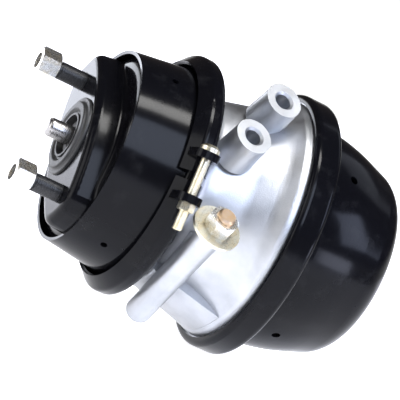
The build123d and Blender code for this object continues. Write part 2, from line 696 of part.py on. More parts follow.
# Adapter casting
with BuildPart() as adapter_body:
    with BuildSketch(Plane.XZ):
        with BuildLine():
            FilletPolyline(
                (ADAPTER_FACE_X, 0),
                (ADAPTER_FACE_X, FLANGE_OUTER),
                (RIM_WEDGE_FRONT_X, FLANGE_OUTER),
                (RIM_WEDGE_REAR_X, RIM_WEDGE_RADIUS),
                *BELL_POINTS,
                (BELL_SKIRT_X, BELL_SKIRT_RADIUS),
                (PARK_FLANGE_X, BELL_SKIRT_RADIUS + 1),
                (PARK_FLANGE_X, PARK_RIM_RADIUS),
                (PARK_SPLIT_X, PARK_RIM_RADIUS),
                (PARK_SPLIT_X, 0),
                radius=[0, 0.3, 0.5, 1, *BELL_FILLETS, 6, 1, PARK_RIM_FILLET, 0, 0],
                close=True,
            )
        make_face()
    revolve(axis=Axis.X)
    # Raised foot on the lower side
    with BuildSketch(radial_plane(FOOT_START_ANGLE)):
        with BuildLine():
            FilletPolyline(
                (FOOT_FRONT_X, 79),
                (FOOT_FRONT_X, FOOT_FRONT_RADIUS),
                (FOOT_REAR_X, FOOT_REAR_RADIUS),
                (FOOT_REAR_X, 103),
                (138, 88),
                (112, 80),
                radius=[0, 3, 1, 0, 0, 0],
                close=True,
            )
        make_face()
    revolve(axis=Axis.X, revolution_arc=FOOT_SWEEP)
    # Bosses of the two ports
    for port_x, port_offset in ((SERVICE_PORT_X, SERVICE_PORT_OFFSET), (PARK_PORT_X, PARK_PORT_OFFSET)):
        with BuildSketch(port_plane(port_x, port_offset, PORT_FACE)):
            Circle(PORT_BOSS_RADIUS)
        extrude(amount=PORT_ROOT - PORT_FACE, taper=-PORT_DRAFT)
    # Pocket for the release bolt and the web that joins it to the bell
    with BuildSketch(Plane(origin=(POCKET_X, 0, 0), x_dir=around(POCKET_ANGLE - 90), z_dir=(1, 0, 0))):
        with BuildLine():
            FilletPolyline(
                (POCKET_HALF_LENGTH, POCKET_DISTANCE),
                (-POCKET_HALF_LENGTH, POCKET_DISTANCE),
                (-POCKET_HALF_LENGTH, POCKET_DISTANCE + POCKET_TIP_RADIUS),
                (POCKET_HALF_LENGTH, POCKET_DISTANCE + POCKET_MOUTH_RADIUS),
                radius=[0, 0, POCKET_END_FILLET, 0],
                close=True,
            )
        make_face()
    revolve(axis=Axis(station(POCKET_X, POCKET_ANGLE, POCKET_DISTANCE), around(POCKET_ANGLE - 90)))
    with BuildSketch(Plane(origin=(POCKET_X, 0, 0), x_dir=around(POCKET_ANGLE - 90), z_dir=(1, 0, 0))):
        Polygon(
            (POCKET_WEB_TOP_HALF, POCKET_DISTANCE),
            (-POCKET_WEB_TOP_HALF, POCKET_DISTANCE),
            (-POCKET_WEB_ROOT_HALF, POCKET_WEB_ROOT),
            (POCKET_WEB_ROOT_HALF, POCKET_WEB_ROOT),
            align=None,
        )
    extrude(amount=POCKET_WEB_THICKNESS / 2, both=True)
    # Cup of the service chamber, cavity of the parking chamber and the hub between them
    with BuildSketch(Plane.XZ):
        with BuildLine():
            Polyline(*CUP_POINTS[:3], (ADAPTER_FACE_X, 0), close=True)
        make_face()
        with BuildLine():
            FilletPolyline(
                (PARK_SPLIT_X, 0),
                (PARK_SPLIT_X, PARK_MOUTH_RADIUS),
                *PARK_CAVITY,
                (WEB_REAR_X, HUB_RADIUS),
                (HUB_END_X, HUB_RADIUS),
                (HUB_END_X, 0),
                radius=[0, 0, *PARK_CAVITY_FILLETS, 3, 1, 0],
                close=True,
            )
        make_face()
        with BuildLine():
            Polyline(
                (CUP_FLOOR_X, 0),
                (CUP_FLOOR_X, ACTUATOR_ROD_RADIUS + ROD_HOLE_CLEARANCE),
                (SEAL_START_X, ACTUATOR_ROD_RADIUS + ROD_HOLE_CLEARANCE),
                (SEAL_START_X, HUB_BORE_RADIUS),
                (RETAINER_X, HUB_BORE_RADIUS),
                (RETAINER_X, HUB_BORE_RADIUS + RETAINER_BITE),
                (RETAINER_X + RETAINER_THICKNESS, HUB_BORE_RADIUS + RETAINER_BITE),
                (RETAINER_X + RETAINER_THICKNESS, HUB_BORE_RADIUS),
                (HUB_END_X, HUB_BORE_RADIUS),
                (HUB_END_X, 0),
                close=True,
            )
        make_face()
    revolve(axis=Axis.X, mode=Mode.SUBTRACT)
    # Threads of the ports and the drillings into their chambers
    for port_x, port_offset in ((SERVICE_PORT_X, SERVICE_PORT_OFFSET), (PARK_PORT_X, PARK_PORT_OFFSET)):
        with BuildSketch(port_plane(port_x, port_offset, PORT_FACE)):
            Circle(PORT_THREAD_RADIUS)
        extrude(amount=-PORT_THREAD_DEPTH, mode=Mode.SUBTRACT)
        with BuildSketch(port_plane(port_x, port_offset, PORT_FACE)):
            Circle(PORT_THREAD_RADIUS + PORT_CHAMFER)
        extrude(amount=-PORT_CHAMFER, taper=45, mode=Mode.SUBTRACT)
    with BuildSketch(port_plane(PARK_PORT_X, PARK_PORT_OFFSET, PORT_FACE - PORT_THREAD_DEPTH)):
        Circle(PORT_DRILLING_RADIUS)
    extrude(amount=PARK_DRILLING_END - PORT_FACE + PORT_THREAD_DEPTH, mode=Mode.SUBTRACT)
    drill_start = Vector(
        *station(SERVICE_PORT_X, PORT_ANGLE, PORT_FACE - PORT_THREAD_DEPTH + 2, SERVICE_PORT_OFFSET)
    )
    drill_end = Vector(
        *station(SERVICE_DRILLING_END[0], PORT_ANGLE, SERVICE_DRILLING_END[1], SERVICE_DRILLING_END[2])
    )
    with BuildSketch(Plane(origin=drill_start, z_dir=drill_end - drill_start)):
        Circle(PORT_DRILLING_RADIUS)
    extrude(amount=(drill_end - drill_start).length, mode=Mode.SUBTRACT)
    # Bore of the pocket
    with BuildSketch(pocket_plane(POCKET_HALF_LENGTH)):
        Circle(POCKET_BORE_RADIUS)
    extrude(amount=POCKET_END_WALL - 2 * POCKET_HALF_LENGTH, mode=Mode.SUBTRACT)

# Release bolt stowed in the pocket, with its washer and nut
release_bottom = -POCKET_HALF_LENGTH + POCKET_END_WALL + RELEASE_END_GAP
release_nut_face = POCKET_HALF_LENGTH + RELEASE_WASHER_THICKNESS
release_top = release_nut_face + RELEASE_NUT_HEIGHT + RELEASE_PROTRUSION - release_bottom
shank_end = release_top - RELEASE_THREAD_LENGTH
with BuildPart() as release_bolt:
    with Locations(pocket_plane(release_bottom)):
        add(
            turned_pin(
                [
                    (0, 0),
                    (RELEASE_SHANK_DIAMETER / 2, 0),
                    (RELEASE_SHANK_DIAMETER / 2, shank_end - 1.6),
                    (RELEASE_DIAMETER / 2, shank_end),
                    (RELEASE_DIAMETER / 2, release_top - 1.5),
                    (RELEASE_DIAMETER / 2 - 1.5, release_top),
                    (0, release_top),
                ]
            )
        )
        Box(
            RELEASE_HEAD_THICKNESS,
            RELEASE_HEAD_WIDTH,
            RELEASE_HEAD_HEIGHT,
            align=(Align.CENTER, Align.CENTER, Align.MIN),
        )

with BuildPart() as release_washer:
    with BuildSketch(pocket_plane(POCKET_HALF_LENGTH)):
        Circle(RELEASE_WASHER_RADIUS)
        Circle(RELEASE_DIAMETER / 2 + HOLE_CLEARANCE, mode=Mode.SUBTRACT)
    extrude(amount=RELEASE_WASHER_THICKNESS)

with BuildPart() as release_nut:
    with Locations(pocket_plane(release_nut_face)):
        add(
            hex_nut(
                RELEASE_NUT_FLATS, RELEASE_NUT_HEIGHT, RELEASE_DIAMETER / 2 + THREAD_CLEARANCE, STUD_NUT_CHAMFER
            )
        )

# Bush, seals, washers and retaining ring in the hub
with BuildPart() as centre_bush:
    with BuildSketch(Plane.YZ.offset(BUSH_START_X)):
        Circle(HUB_BORE_RADIUS - BUSH_FIT)
        Circle(ACTUATOR_ROD_RADIUS + RUNNING_CLEARANCE, mode=Mode.SUBTRACT)
    extrude(amount=BUSH_LENGTH)

seal_starts = (SEAL_START_X, BUSH_END_X + HUB_WASHER_THICKNESS)
with BuildPart() as rod_seals:
    with BuildSketch(Plane.XZ):
        with Locations(*[(x + SEAL_ROOM / 2, HUB_BORE_RADIUS - SEAL_SECTION / 2) for x in seal_starts]):
            Circle(SEAL_SECTION / 2)
    revolve(axis=Axis.X)

washer_starts = (BUSH_START_X - HUB_WASHER_THICKNESS, BUSH_END_X, RETAINER_X - HUB_WASHER_THICKNESS)
with BuildPart() as hub_washers:
    for washer_start in washer_starts:
        with BuildSketch(Plane.YZ.offset(washer_start)):
            Circle(HUB_BORE_RADIUS - BUSH_FIT)
            Circle(ACTUATOR_ROD_RADIUS + HUB_WASHER_CLEARANCE, mode=Mode.SUBTRACT)
        extrude(amount=HUB_WASHER_THICKNESS)

with BuildPart() as bush_retainer:
    with BuildSketch(Plane.YZ.offset(RETAINER_X)):
        Circle(HUB_BORE_RADIUS + RETAINER_BITE)
        Circle(HUB_BORE_RADIUS + RETAINER_BITE - RETAINER_WIDTH, mode=Mode.SUBTRACT)
        with Locations((0, HUB_BORE_RADIUS)):
            Rectangle(8, 2 * RETAINER_WIDTH, mode=Mode.SUBTRACT)
    extrude(amount=RETAINER_THICKNESS)

# Actuator rod and plate, spring diaphragm and pressure plate
with BuildPart() as actuator_rod:
    with BuildSketch(Plane.XZ):
        with BuildLine():
            FilletPolyline(
                (CUP_FLOOR_X, 0),
                (CUP_FLOOR_X, ACTUATOR_ROD_RADIUS),
                (ACTUATOR_PLATE_X, ACTUATOR_ROD_RADIUS),
                (ACTUATOR_PLATE_X, 0),
                radius=[0, 2, 0, 0],
                close=True,
            )
        make_face()
    revolve(axis=Axis.X)

plate_rear = ACTUATOR_PLATE_X + ACTUATOR_PLATE_THICKNESS
with BuildPart() as actuator_plate:
    with BuildSketch(Plane.XZ):
        with BuildLine():
            FilletPolyline(
                (plate_rear, 0),
                (plate_rear, ACTUATOR_PLATE_RADIUS),
                (ACTUATOR_PLATE_X, ACTUATOR_PLATE_RADIUS),
                (ACTUATOR_PLATE_X, 0),
                radius=[0, 3, 1, 0],
                close=True,
            )
        make_face()
    revolve(axis=Axis.X)

with BuildPart() as spring_diaphragm:
    with BuildSketch(Plane.XZ):
        with BuildLine():
            wall = DOME_WALL_RADIUS - DOME_SHEET - 5 * SOFT_GAP
            rear = PARK_DIAPHRAGM_X + RUBBER
            sheet_outline(
                [(rear, 0), (rear, wall), (PARK_SPLIT_X + RUBBER, wall), (PARK_SPLIT_X + RUBBER, DOME_RIM_RADIUS)],
                RUBBER,
                [DIAPHRAGM_BEND, DOME_BENDS[0] + DOME_SHEET + 3 * SOFT_GAP],
            )
        make_face()
    revolve(axis=Axis.X)

with BuildPart() as pressure_plate:
    with BuildSketch(Plane.XZ):
        with BuildLine():
            FilletPolyline(
                (PRESSURE_PLATE_X, 0),
                (PRESSURE_PLATE_X, PRESSURE_PLATE_RADIUS),
                (POWER_SEAT_X, PRESSURE_PLATE_RADIUS),
                (POWER_SEAT_X, PRESSURE_RIM_RADIUS),
                (POWER_SEAT_X + PRESSURE_RIM_HEIGHT, PRESSURE_RIM_RADIUS),
                (POWER_SEAT_X + PRESSURE_RIM_HEIGHT, PRESSURE_RIM_RADIUS - PRESSURE_RIM_WIDTH),
                (POWER_SEAT_X, PRESSURE_RIM_RADIUS - PRESSURE_RIM_WIDTH),
                (POWER_SEAT_X, PRESSURE_BOSS_RADIUS),
                (POWER_SEAT_X + PRESSURE_BOSS_HEIGHT, PRESSURE_BOSS_RADIUS),
                (POWER_SEAT_X + PRESSURE_BOSS_HEIGHT, 0),
                radius=[0, 3, 1, 0, 1, 1, 1, 3, 2, 0],
                close=True,
            )
        make_face()
    revolve(axis=Axis.X)
    with BuildSketch(Plane.YZ.offset(POWER_SEAT_X + PRESSURE_BOSS_HEIGHT)):
        Rectangle(KEYHOLE_LENGTH, KEYHOLE_WIDTH)
    extrude(amount=-PRESSURE_BOSS_HEIGHT, mode=Mode.SUBTRACT)

# Spring clamp ring and spring housing
with BuildPart() as spring_clamp_ring:
    with BuildSketch(Plane.XZ):
        with BuildLine():
            sheet_outline(
                [
                    (RING_FRONT_X - RING_LEAN, RING_CROWN - RING_FRONT_LIP),
                    (RING_FRONT_X, RING_CROWN),
                    (RING_REAR_X, RING_CROWN),
                    (RING_REAR_X - RING_LEAN, RING_CROWN - RING_REAR_LIP),
                ],
                -RING_SHEET,
                [RING_BEND, RING_BEND],
            )
        make_face()
    revolve(axis=Axis.X)

with BuildPart() as spring_housing:
    with BuildSketch(Plane.XZ):
        with BuildLine():
            sheet_outline(
                [
                    (DOME_FLANGE_X, DOME_RIM_RADIUS),
                    (DOME_FLANGE_X, DOME_WALL_RADIUS),
                    (DOME_SHOULDER_X, DOME_WALL_RADIUS - DOME_SHOULDER_DROP),
                    (DOME_REAR_X, DOME_WALL_RADIUS - DOME_REAR_DROP),
                    (DOME_END_X - DOME_CROWN, DOME_WALL_RADIUS - DOME_END_DROP),
                    (DOME_END_X, CAGING_HOLE_RADIUS),
                ],
                -DOME_SHEET,
                DOME_BENDS,
            )
        make_face()
    revolve(axis=Axis.X)
    for vent_angle in DOME_VENT_ANGLES:
        with BuildSketch(drill_plane(DOME_VENT_X, vent_angle, DOME_WALL_RADIUS - 12)):
            Circle(DOME_VENT_RADIUS)
        extrude(amount=20, mode=Mode.SUBTRACT)

with BuildPart() as dust_plug:
    with BuildSketch(Plane.XZ):
        with BuildLine():
            FilletPolyline(
                (DOME_END_X + PLUG_FLANGE_THICKNESS, 0),
                (DOME_END_X + PLUG_FLANGE_THICKNESS, PLUG_FLANGE_RADIUS),
                (DOME_END_X + SOFT_GAP, PLUG_FLANGE_RADIUS),
                (DOME_END_X + SOFT_GAP, PLUG_NECK_RADIUS),
                (DOME_END_X - PLUG_DEPTH, PLUG_NECK_RADIUS),
                (DOME_END_X - PLUG_DEPTH, 0),
                radius=[0, 1.5, 0.5, 0, 1, 0],
                close=True,
            )
        make_face()
    revolve(axis=Axis.X)

# Springs
with BuildPart() as service_spring:
    add(
        spring_coil(
            STUD_SEAT_X, PUSH_PLATE_FRONT_X, SERVICE_FRONT_COIL, SERVICE_REAR_COIL, SERVICE_WIRE, SERVICE_COILS
        )
    )

with BuildPart() as return_spring:
    add(spring_coil(WEB_REAR_X, ACTUATOR_PLATE_X, RETURN_COIL, RETURN_COIL, RETURN_WIRE, RETURN_COILS))

with BuildPart() as power_spring:
    add(
        spring_coil(
            POWER_SEAT_X, DOME_END_X - DOME_SHEET - DOME_CROWN, POWER_COIL, POWER_COIL, POWER_WIRE, POWER_COILS
        )
    )

service_housing.part.label = "service_housing"
export_step(service_housing.part, "parts/service_housing.step")
stud_plate.part.label = "stud_plate"
export_step(stud_plate.part, "parts/stud_plate.step")
mounting_studs.part.label = "mounting_studs"
export_step(mounting_studs.part, "parts/mounting_studs.step")
stud_nuts.part.label = "stud_nuts"
export_step(stud_nuts.part, "parts/stud_nuts.step")
push_rod.part.label = "push_rod"
export_step(push_rod.part, "parts/push_rod.step")
push_plate.part.label = "push_plate"
export_step(push_plate.part, "parts/push_plate.step")
rod_boot.part.label = "rod_boot"
export_step(rod_boot.part, "parts/rod_boot.step")
service_diaphragm.part.label = "service_diaphragm"
export_step(service_diaphragm.part, "parts/service_diaphragm.step")
service_spring.part.label = "service_spring"
export_step(service_spring.part, "parts/service_spring.step")
service_clamp_upper.part.label = "service_clamp_upper"
export_step(service_clamp_upper.part, "parts/service_clamp_upper.step")
service_clamp_lower.part.label = "service_clamp_lower"
export_step(service_clamp_lower.part, "parts/service_clamp_lower.step")
clamp_bolts.part.label = "clamp_bolts"
export_step(clamp_bolts.part, "parts/clamp_bolts.step")
clamp_washers.part.label = "clamp_washers"
export_step(clamp_washers.part, "parts/clamp_washers.step")
clamp_nuts.part.label = "clamp_nuts"
export_step(clamp_nuts.part, "parts/clamp_nuts.step")
adapter_body.part.label = "adapter_body"
export_step(adapter_body.part, "parts/adapter_body.step")
release_bolt.part.label = "release_bolt"
export_step(release_bolt.part, "parts/release_bolt.step")
release_washer.part.label = "release_washer"
export_step(release_washer.part, "parts/release_washer.step")
release_nut.part.label = "release_nut"
export_step(release_nut.part, "parts/release_nut.step")
centre_bush.part.label = "centre_bush"
export_step(centre_bush.part, "parts/centre_bush.step")
rod_seals.part.label = "rod_seals"
export_step(rod_seals.part, "parts/rod_seals.step")
hub_washers.part.label = "hub_washers"
export_step(hub_washers.part, "parts/hub_washers.step")
bush_retainer.part.label = "bush_retainer"
export_step(bush_retainer.part, "parts/bush_retainer.step")
actuator_rod.part.label = "actuator_rod"
export_step(actuator_rod.part, "parts/actuator_rod.step")
actuator_plate.part.label = "actuator_plate"
export_step(actuator_plate.part, "parts/actuator_plate.step")
return_spring.part.label = "return_spring"
export_step(return_spring.part, "parts/return_spring.step")
spring_diaphragm.part.label = "spring_diaphragm"
export_step(spring_diaphragm.part, "parts/spring_diaphragm.step")
pressure_plate.part.label = "pressure_plate"
export_step(pressure_plate.part, "parts/pressure_plate.step")
power_spring.part.label = "power_spring"
export_step(power_spring.part, "parts/power_spring.step")
spring_clamp_ring.part.label = "spring_clamp_ring"
export_step(spring_clamp_ring.part, "parts/spring_clamp_ring.step")
spring_housing.part.label = "spring_housing"
export_step(spring_housing.part, "parts/spring_housing.step")
dust_plug.part.label = "dust_plug"
export_step(dust_plug.part, "parts/dust_plug.step")
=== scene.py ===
import math

import bmesh
import bpy
from mathutils import Matrix, Vector


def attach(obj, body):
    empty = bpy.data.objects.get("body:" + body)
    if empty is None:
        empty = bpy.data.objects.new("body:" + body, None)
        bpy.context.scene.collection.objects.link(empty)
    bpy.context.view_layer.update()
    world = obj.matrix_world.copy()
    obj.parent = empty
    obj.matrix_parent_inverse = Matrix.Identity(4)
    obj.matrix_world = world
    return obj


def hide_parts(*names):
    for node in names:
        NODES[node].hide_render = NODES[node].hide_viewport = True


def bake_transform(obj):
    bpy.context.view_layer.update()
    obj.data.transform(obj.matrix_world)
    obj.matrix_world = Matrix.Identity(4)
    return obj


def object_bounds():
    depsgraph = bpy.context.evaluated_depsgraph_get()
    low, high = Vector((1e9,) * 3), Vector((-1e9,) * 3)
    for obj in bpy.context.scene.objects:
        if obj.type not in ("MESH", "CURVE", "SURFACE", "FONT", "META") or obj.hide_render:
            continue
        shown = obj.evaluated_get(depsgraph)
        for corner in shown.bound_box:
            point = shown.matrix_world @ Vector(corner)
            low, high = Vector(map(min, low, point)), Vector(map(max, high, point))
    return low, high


bl_info = {
    "name": "Brake chamber dressing",
    "version": (1, 0, 0),
    "blender": (4, 5, 0),
    "location": "3D View > Sidebar > Chamber",
    "description": "Finishes, threads and studio for a spring brake chamber",
    "category": "Object",
}

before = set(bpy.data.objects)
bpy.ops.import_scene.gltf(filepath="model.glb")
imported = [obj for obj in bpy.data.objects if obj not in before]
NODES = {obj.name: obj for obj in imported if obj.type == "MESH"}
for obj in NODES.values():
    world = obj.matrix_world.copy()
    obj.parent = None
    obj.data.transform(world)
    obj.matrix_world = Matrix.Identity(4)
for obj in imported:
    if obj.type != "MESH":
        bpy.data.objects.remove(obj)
CAD_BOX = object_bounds()

# The studs, the release bolt's pocket and the clamp joint lie at these angles from +Z towards -Y
STUD_ANGLE = math.radians(-42)
POCKET_ANGLE = math.radians(129)
CLAMP_ANGLE = math.radians(79)

# Sizes of the threaded shafts, in metres
STUD_DISTANCE = 0.060325
STUD_RADIUS = 0.008
CLAMP_BOLT_X = 0.0785
CLAMP_BOLT_DISTANCE = 0.119
CLAMP_BOLT_RADIUS = 0.004
POCKET_X = 0.112
POCKET_DISTANCE = 0.098
RELEASE_RADIUS = 0.00795

# Where each thread starts along its shaft and how long it is
STUD_THREAD = (-0.0245, 0.0238)
CLAMP_BOLT_THREADS = ((-0.0466, 0.0164), (-0.0158, 0.024))
RELEASE_THREADS = ((0.018, 0.048), (0.0832, 0.0028))

# The ridge of a thread: its section's radius as a share of the pitch, its steps a turn and its sides
RIDGE_SHARE = 0.34
RIDGE_STEPS = 40
RIDGE_SIDES = 6

# Low, so that the enamel stays black where it faces the camera and turns light at its edges
PAINT_IOR = 1.2

# The floor's half width, and how far it lies below the chamber
FLOOR_HALF = 9.0
FLOOR_GAP = 0.002

# What the camera and the lights point at, and the camera's picture and sensor
CAMERA_TARGET = Vector((0.08, 0, 0))
LIGHT_TARGET = Vector((0.12, 0, 0))
PICTURE_WIDTH = 400
SENSOR_WIDTH = 36.0

# Each studio light: its name, place, size, power and colour
SOFTBOXES = (
    ("key_softbox", (-0.75, -0.95, 1.15), (0.3, 1.1), 3.0, (1.0, 0.99, 0.97)),
    ("top_softbox", (0.0, -0.42, 1.5), (0.9, 0.36), 24.0, (1.0, 0.99, 0.97)),
    ("front_softbox", (0.15, -1.15, 0.85), (0.8, 0.9), 19.0, (0.7, 0.79, 1.0)),
    ("side_softbox", (-1.45, -0.25, 0.35), (0.9, 1.2), 10.0, (1.0, 1.0, 1.0)),
    ("back_softbox", (-0.5, 1.5, 0.05), (0.7, 0.5), 4.5, (0.85, 0.9, 1.0)),
    ("window_softbox", (1.2, -0.75, 0.7), (0.5, 0.6), 7.0, (0.66, 0.74, 1.0)),
    ("low_softbox", (1.25, -1.15, 0.05), (0.6, 0.3), 6.0, (0.74, 0.79, 1.0)),
    ("rear_softbox", (1.1, 0.5, 1.2), (0.8, 0.5), 1.0, (0.8, 0.86, 1.0)),
)

# Each soft piece: its node, its slot, the bodies at its front and rear, and where along X it
# leaves the front one and reaches the rear one
SOFT_PIECES = (
    ("service_spring", "spring_steel", "chamber", "push_rod_assembly", 0.0085, 0.0945),
    ("service_diaphragm", "diaphragm_rubber", "chamber", "push_rod_assembly", 0.085, 0.0985),
    ("return_spring", "spring_steel", "chamber", "actuator", 0.1125, 0.207),
    ("spring_diaphragm", "diaphragm_rubber", "chamber", "actuator", 0.196, 0.211),
    ("power_spring", "spring_steel", "actuator", "chamber", 0.2225, 0.2862),
)

BLACK_PAINTED = (
    "service_housing",
    "service_clamp_upper",
    "service_clamp_lower",
    "spring_clamp_ring",
    "spring_housing",
)
YELLOW_ZINC = ("clamp_bolts", "clamp_washers", "clamp_nuts", "release_washer")
BRIGHT_ZINC = ("stud_nuts", "release_nut")
BLACK_OXIDE = ("mounting_studs", "stud_plate", "bush_retainer")
BRIGHT_STEEL = ("push_rod", "push_plate", "actuator_rod", "hub_washers")
CAST = ("adapter_body", "actuator_plate", "pressure_plate")
SOFT_BLACK = ("rod_boot", "service_diaphragm", "spring_diaphragm", "rod_seals")
SPRINGS = ("service_spring", "return_spring", "power_spring")


class Value:
    """A number socket that takes part in Python sums by adding Math nodes."""

    def __init__(self, shop, socket):
        self.shop = shop
        self.socket = socket

    def sum_with(self, operation, other):
        return self.shop.number("ShaderNodeMath", {"operation": operation}, {0: self, 1: other})

    def __add__(self, other):
        return self.sum_with("ADD", other)

    def __mul__(self, other):
        return self.sum_with("MULTIPLY", other)


class PaintShop:
    """The node tree of one material, with one method that adds any node."""

    def __init__(self, name):
        self.material = bpy.data.materials.new(name)
        self.material.use_nodes = True
        self.tree = self.material.node_tree
        self.tree.nodes.clear()
        self.output = self.tree.nodes.new("ShaderNodeOutputMaterial")
        self.place = self.node("ShaderNodeTexCoord").outputs["Object"]

    def node(self, kind, settings=None, inputs=None):
        """A node with these settings. An input is a socket to link or a value to set."""
        made = self.tree.nodes.new(kind)
        for key, value in (settings or {}).items():
            setattr(made, key, value)
        for key, value in (inputs or {}).items():
            value = value.socket if isinstance(value, Value) else value
            if isinstance(value, bpy.types.NodeSocket):
                self.tree.links.new(value, made.inputs[key])
            else:
                made.inputs[key].default_value = value
        return made

    def number(self, kind, settings=None, inputs=None, output=0):
        """A node whose output takes part in sums."""
        return Value(self, self.node(kind, settings, inputs).outputs[output])

    def noise(self, scale, detail=3.0, roughness=0.5, stretch=None):
        """Smooth noise, which stretch can draw out along an axis."""
        place = self.place
        if stretch is not None:
            place = self.node("ShaderNodeMapping", None, {"Vector": place, "Scale": stretch}).outputs[0]
        sizes = {"Vector": place, "Scale": scale, "Detail": detail, "Roughness": roughness}
        return self.number("ShaderNodeTexNoise", {"noise_dimensions": "3D"}, sizes)

    def remap(self, value, low, high, new_low, new_high):
        """A value moved from one range to another and held inside it."""
        ends = {"Value": value, 1: low, 2: high, 3: new_low, 4: new_high}
        return self.number("ShaderNodeMapRange", {"clamp": True}, ends)

    def blend(self, mask, first, second):
        """A colour between two, by a mask. A mix node holds its colours in inputs 6 and 7 and output 2."""
        made = self.node("ShaderNodeMix", {"data_type": "RGBA"}, {0: mask})
        for index, colour in ((6, first), (7, second)):
            if isinstance(colour, bpy.types.NodeSocket):
                self.tree.links.new(colour, made.inputs[index])
            else:
                made.inputs[index].default_value = (*colour, 1)
        return made.outputs[2]

    def bump(self, height, strength, distance):
        sizes = {"Height": height, "Strength": strength, "Distance": distance}
        return self.node("ShaderNodeBump", None, sizes).outputs[0]

    def finish(self, sockets):
        """Ends the tree with the surface shader and gives back the material."""
        made = self.node("ShaderNodeBsdfPrincipled", None, sockets)
        self.tree.links.new(made.outputs[0], self.output.inputs[0])
        return self.material


def gloss_paint(look):
    """Black enamel on pressed steel: mirror-like, a little wavy, with dust in places."""
    shop = PaintShop("gloss_black")
    waves = shop.noise(30.0, 1.0)
    peel = shop.noise(420.0, 2.0)
    dust = shop.remap(shop.noise(60.0, 6.0, 0.6), 0.55, 0.8, 0.0, 1.0)
    black = tuple(look.paint_colour)
    dusty = tuple(c + 0.006 for c in black)
    return shop.finish(
        {
            "Base Color": shop.blend(dust, black, dusty),
            "Roughness": shop.remap(dust, 0.0, 1.0, look.paint_roughness, look.paint_roughness + 0.06),
            "IOR": PAINT_IOR,
            "Normal": shop.bump(waves + peel * 0.04, 0.07, 0.003),
        }
    )


def cast_metal(look):
    """Die-cast aluminium: pale, soft-edged grain, slightly darker in patches."""
    shop = PaintShop("cast_aluminium")
    grain = shop.noise(900.0, 3.0, 0.6)
    patches = shop.noise(28.0, 4.0, 0.55)
    flow = shop.noise(60.0, 3.0, 0.5, (1.0, 1.0, 0.35))
    bright = tuple(look.casting_colour)
    dull = tuple(c * 0.8 for c in bright)
    rough = look.casting_roughness
    return shop.finish(
        {
            "Base Color": shop.blend(shop.remap(patches, 0.35, 0.65, 0.0, 1.0), bright, dull),
            "Metallic": 1.0,
            "Roughness": shop.remap(flow + grain * 0.4, 0.45, 0.95, rough - 0.05, rough + 0.1),
            "Normal": shop.bump(grain + patches * 2.0, 0.22, 0.0006),
        }
    )


def plated(name, colour, roughness):
    """Zinc plate on hardware: satin metal, with a slight tint that wanders."""
    shop = PaintShop(name)
    wander = shop.remap(shop.noise(160.0, 3.0), 0.4, 0.6, 0.0, 1.0)
    fine = shop.noise(1400.0, 2.0)
    tint = tuple(c * f for c, f in zip(colour, (1.0, 0.93, 0.8)))
    return shop.finish(
        {
            "Base Color": shop.blend(wander, colour, tint),
            "Metallic": 1.0,
            "Roughness": shop.remap(fine, 0.3, 0.7, roughness - 0.05, roughness + 0.1),
            "Normal": shop.bump(fine, 0.12, 0.0003),
        }
    )


def dark_steel(name, colour, roughness):
    """Blackened or painted steel, with a dull sheen."""
    shop = PaintShop(name)
    fine = shop.noise(700.0, 3.0)
    dusty = tuple(c * 1.8 + 0.01 for c in colour)
    return shop.finish(
        {
            "Base Color": shop.blend(shop.remap(fine, 0.4, 0.7, 0.0, 1.0), colour, dusty),
            "Metallic": 0.4,
            "Roughness": shop.remap(fine, 0.3, 0.7, roughness, roughness + 0.15),
            "Normal": shop.bump(fine, 0.15, 0.0003),
        }
    )


def turned_steel():
    """Bright turned steel with fine rings round the chamber's axis."""
    shop = PaintShop("rod_steel")
    rings = shop.noise(1.0, 2.0, 0.5, (2600.0, 30.0, 30.0))
    return shop.finish(
        {
            "Base Color": shop.blend(shop.noise(70.0), (0.3, 0.29, 0.29), (0.44, 0.43, 0.42)),
            "Metallic": 1.0,
            "Roughness": shop.remap(rings, 0.3, 0.7, 0.22, 0.36),
            "Normal": shop.bump(rings, 0.1, 0.0002),
        }
    )


def rubber(name, roughness):
    """Black moulded rubber with a matt, finely pitted skin."""
    shop = PaintShop(name)
    skin = shop.noise(1100.0, 3.0, 0.6)
    bloom = shop.remap(shop.noise(60.0, 4.0), 0.45, 0.7, 0.0, 1.0)
    return shop.finish(
        {
            "Base Color": shop.blend(bloom, (0.012, 0.012, 0.012), (0.03, 0.03, 0.03)),
            "Roughness": shop.remap(skin, 0.3, 0.7, roughness - 0.08, roughness + 0.08),
            "Normal": shop.bump(skin, 0.2, 0.0003),
        }
    )


def plain_plastic(name, colour):
    """Moulded plastic with a fine eggshell skin."""
    shop = PaintShop(name)
    skin = shop.noise(900.0, 2.0)
    return shop.finish(
        {
            "Base Color": shop.blend(skin, colour, tuple(c * 1.3 for c in colour)),
            "Roughness": shop.remap(skin, 0.3, 0.7, 0.4, 0.52),
            "Normal": shop.bump(skin, 0.1, 0.0002),
        }
    )


def wear(node_names, material):
    """Gives CAD nodes a finish in place of their plain one."""
    for name in node_names:
        node = NODES[name]
        if not node.material_slots:
            node.data.materials.append(material)
        for place in node.material_slots:
            place.material = material


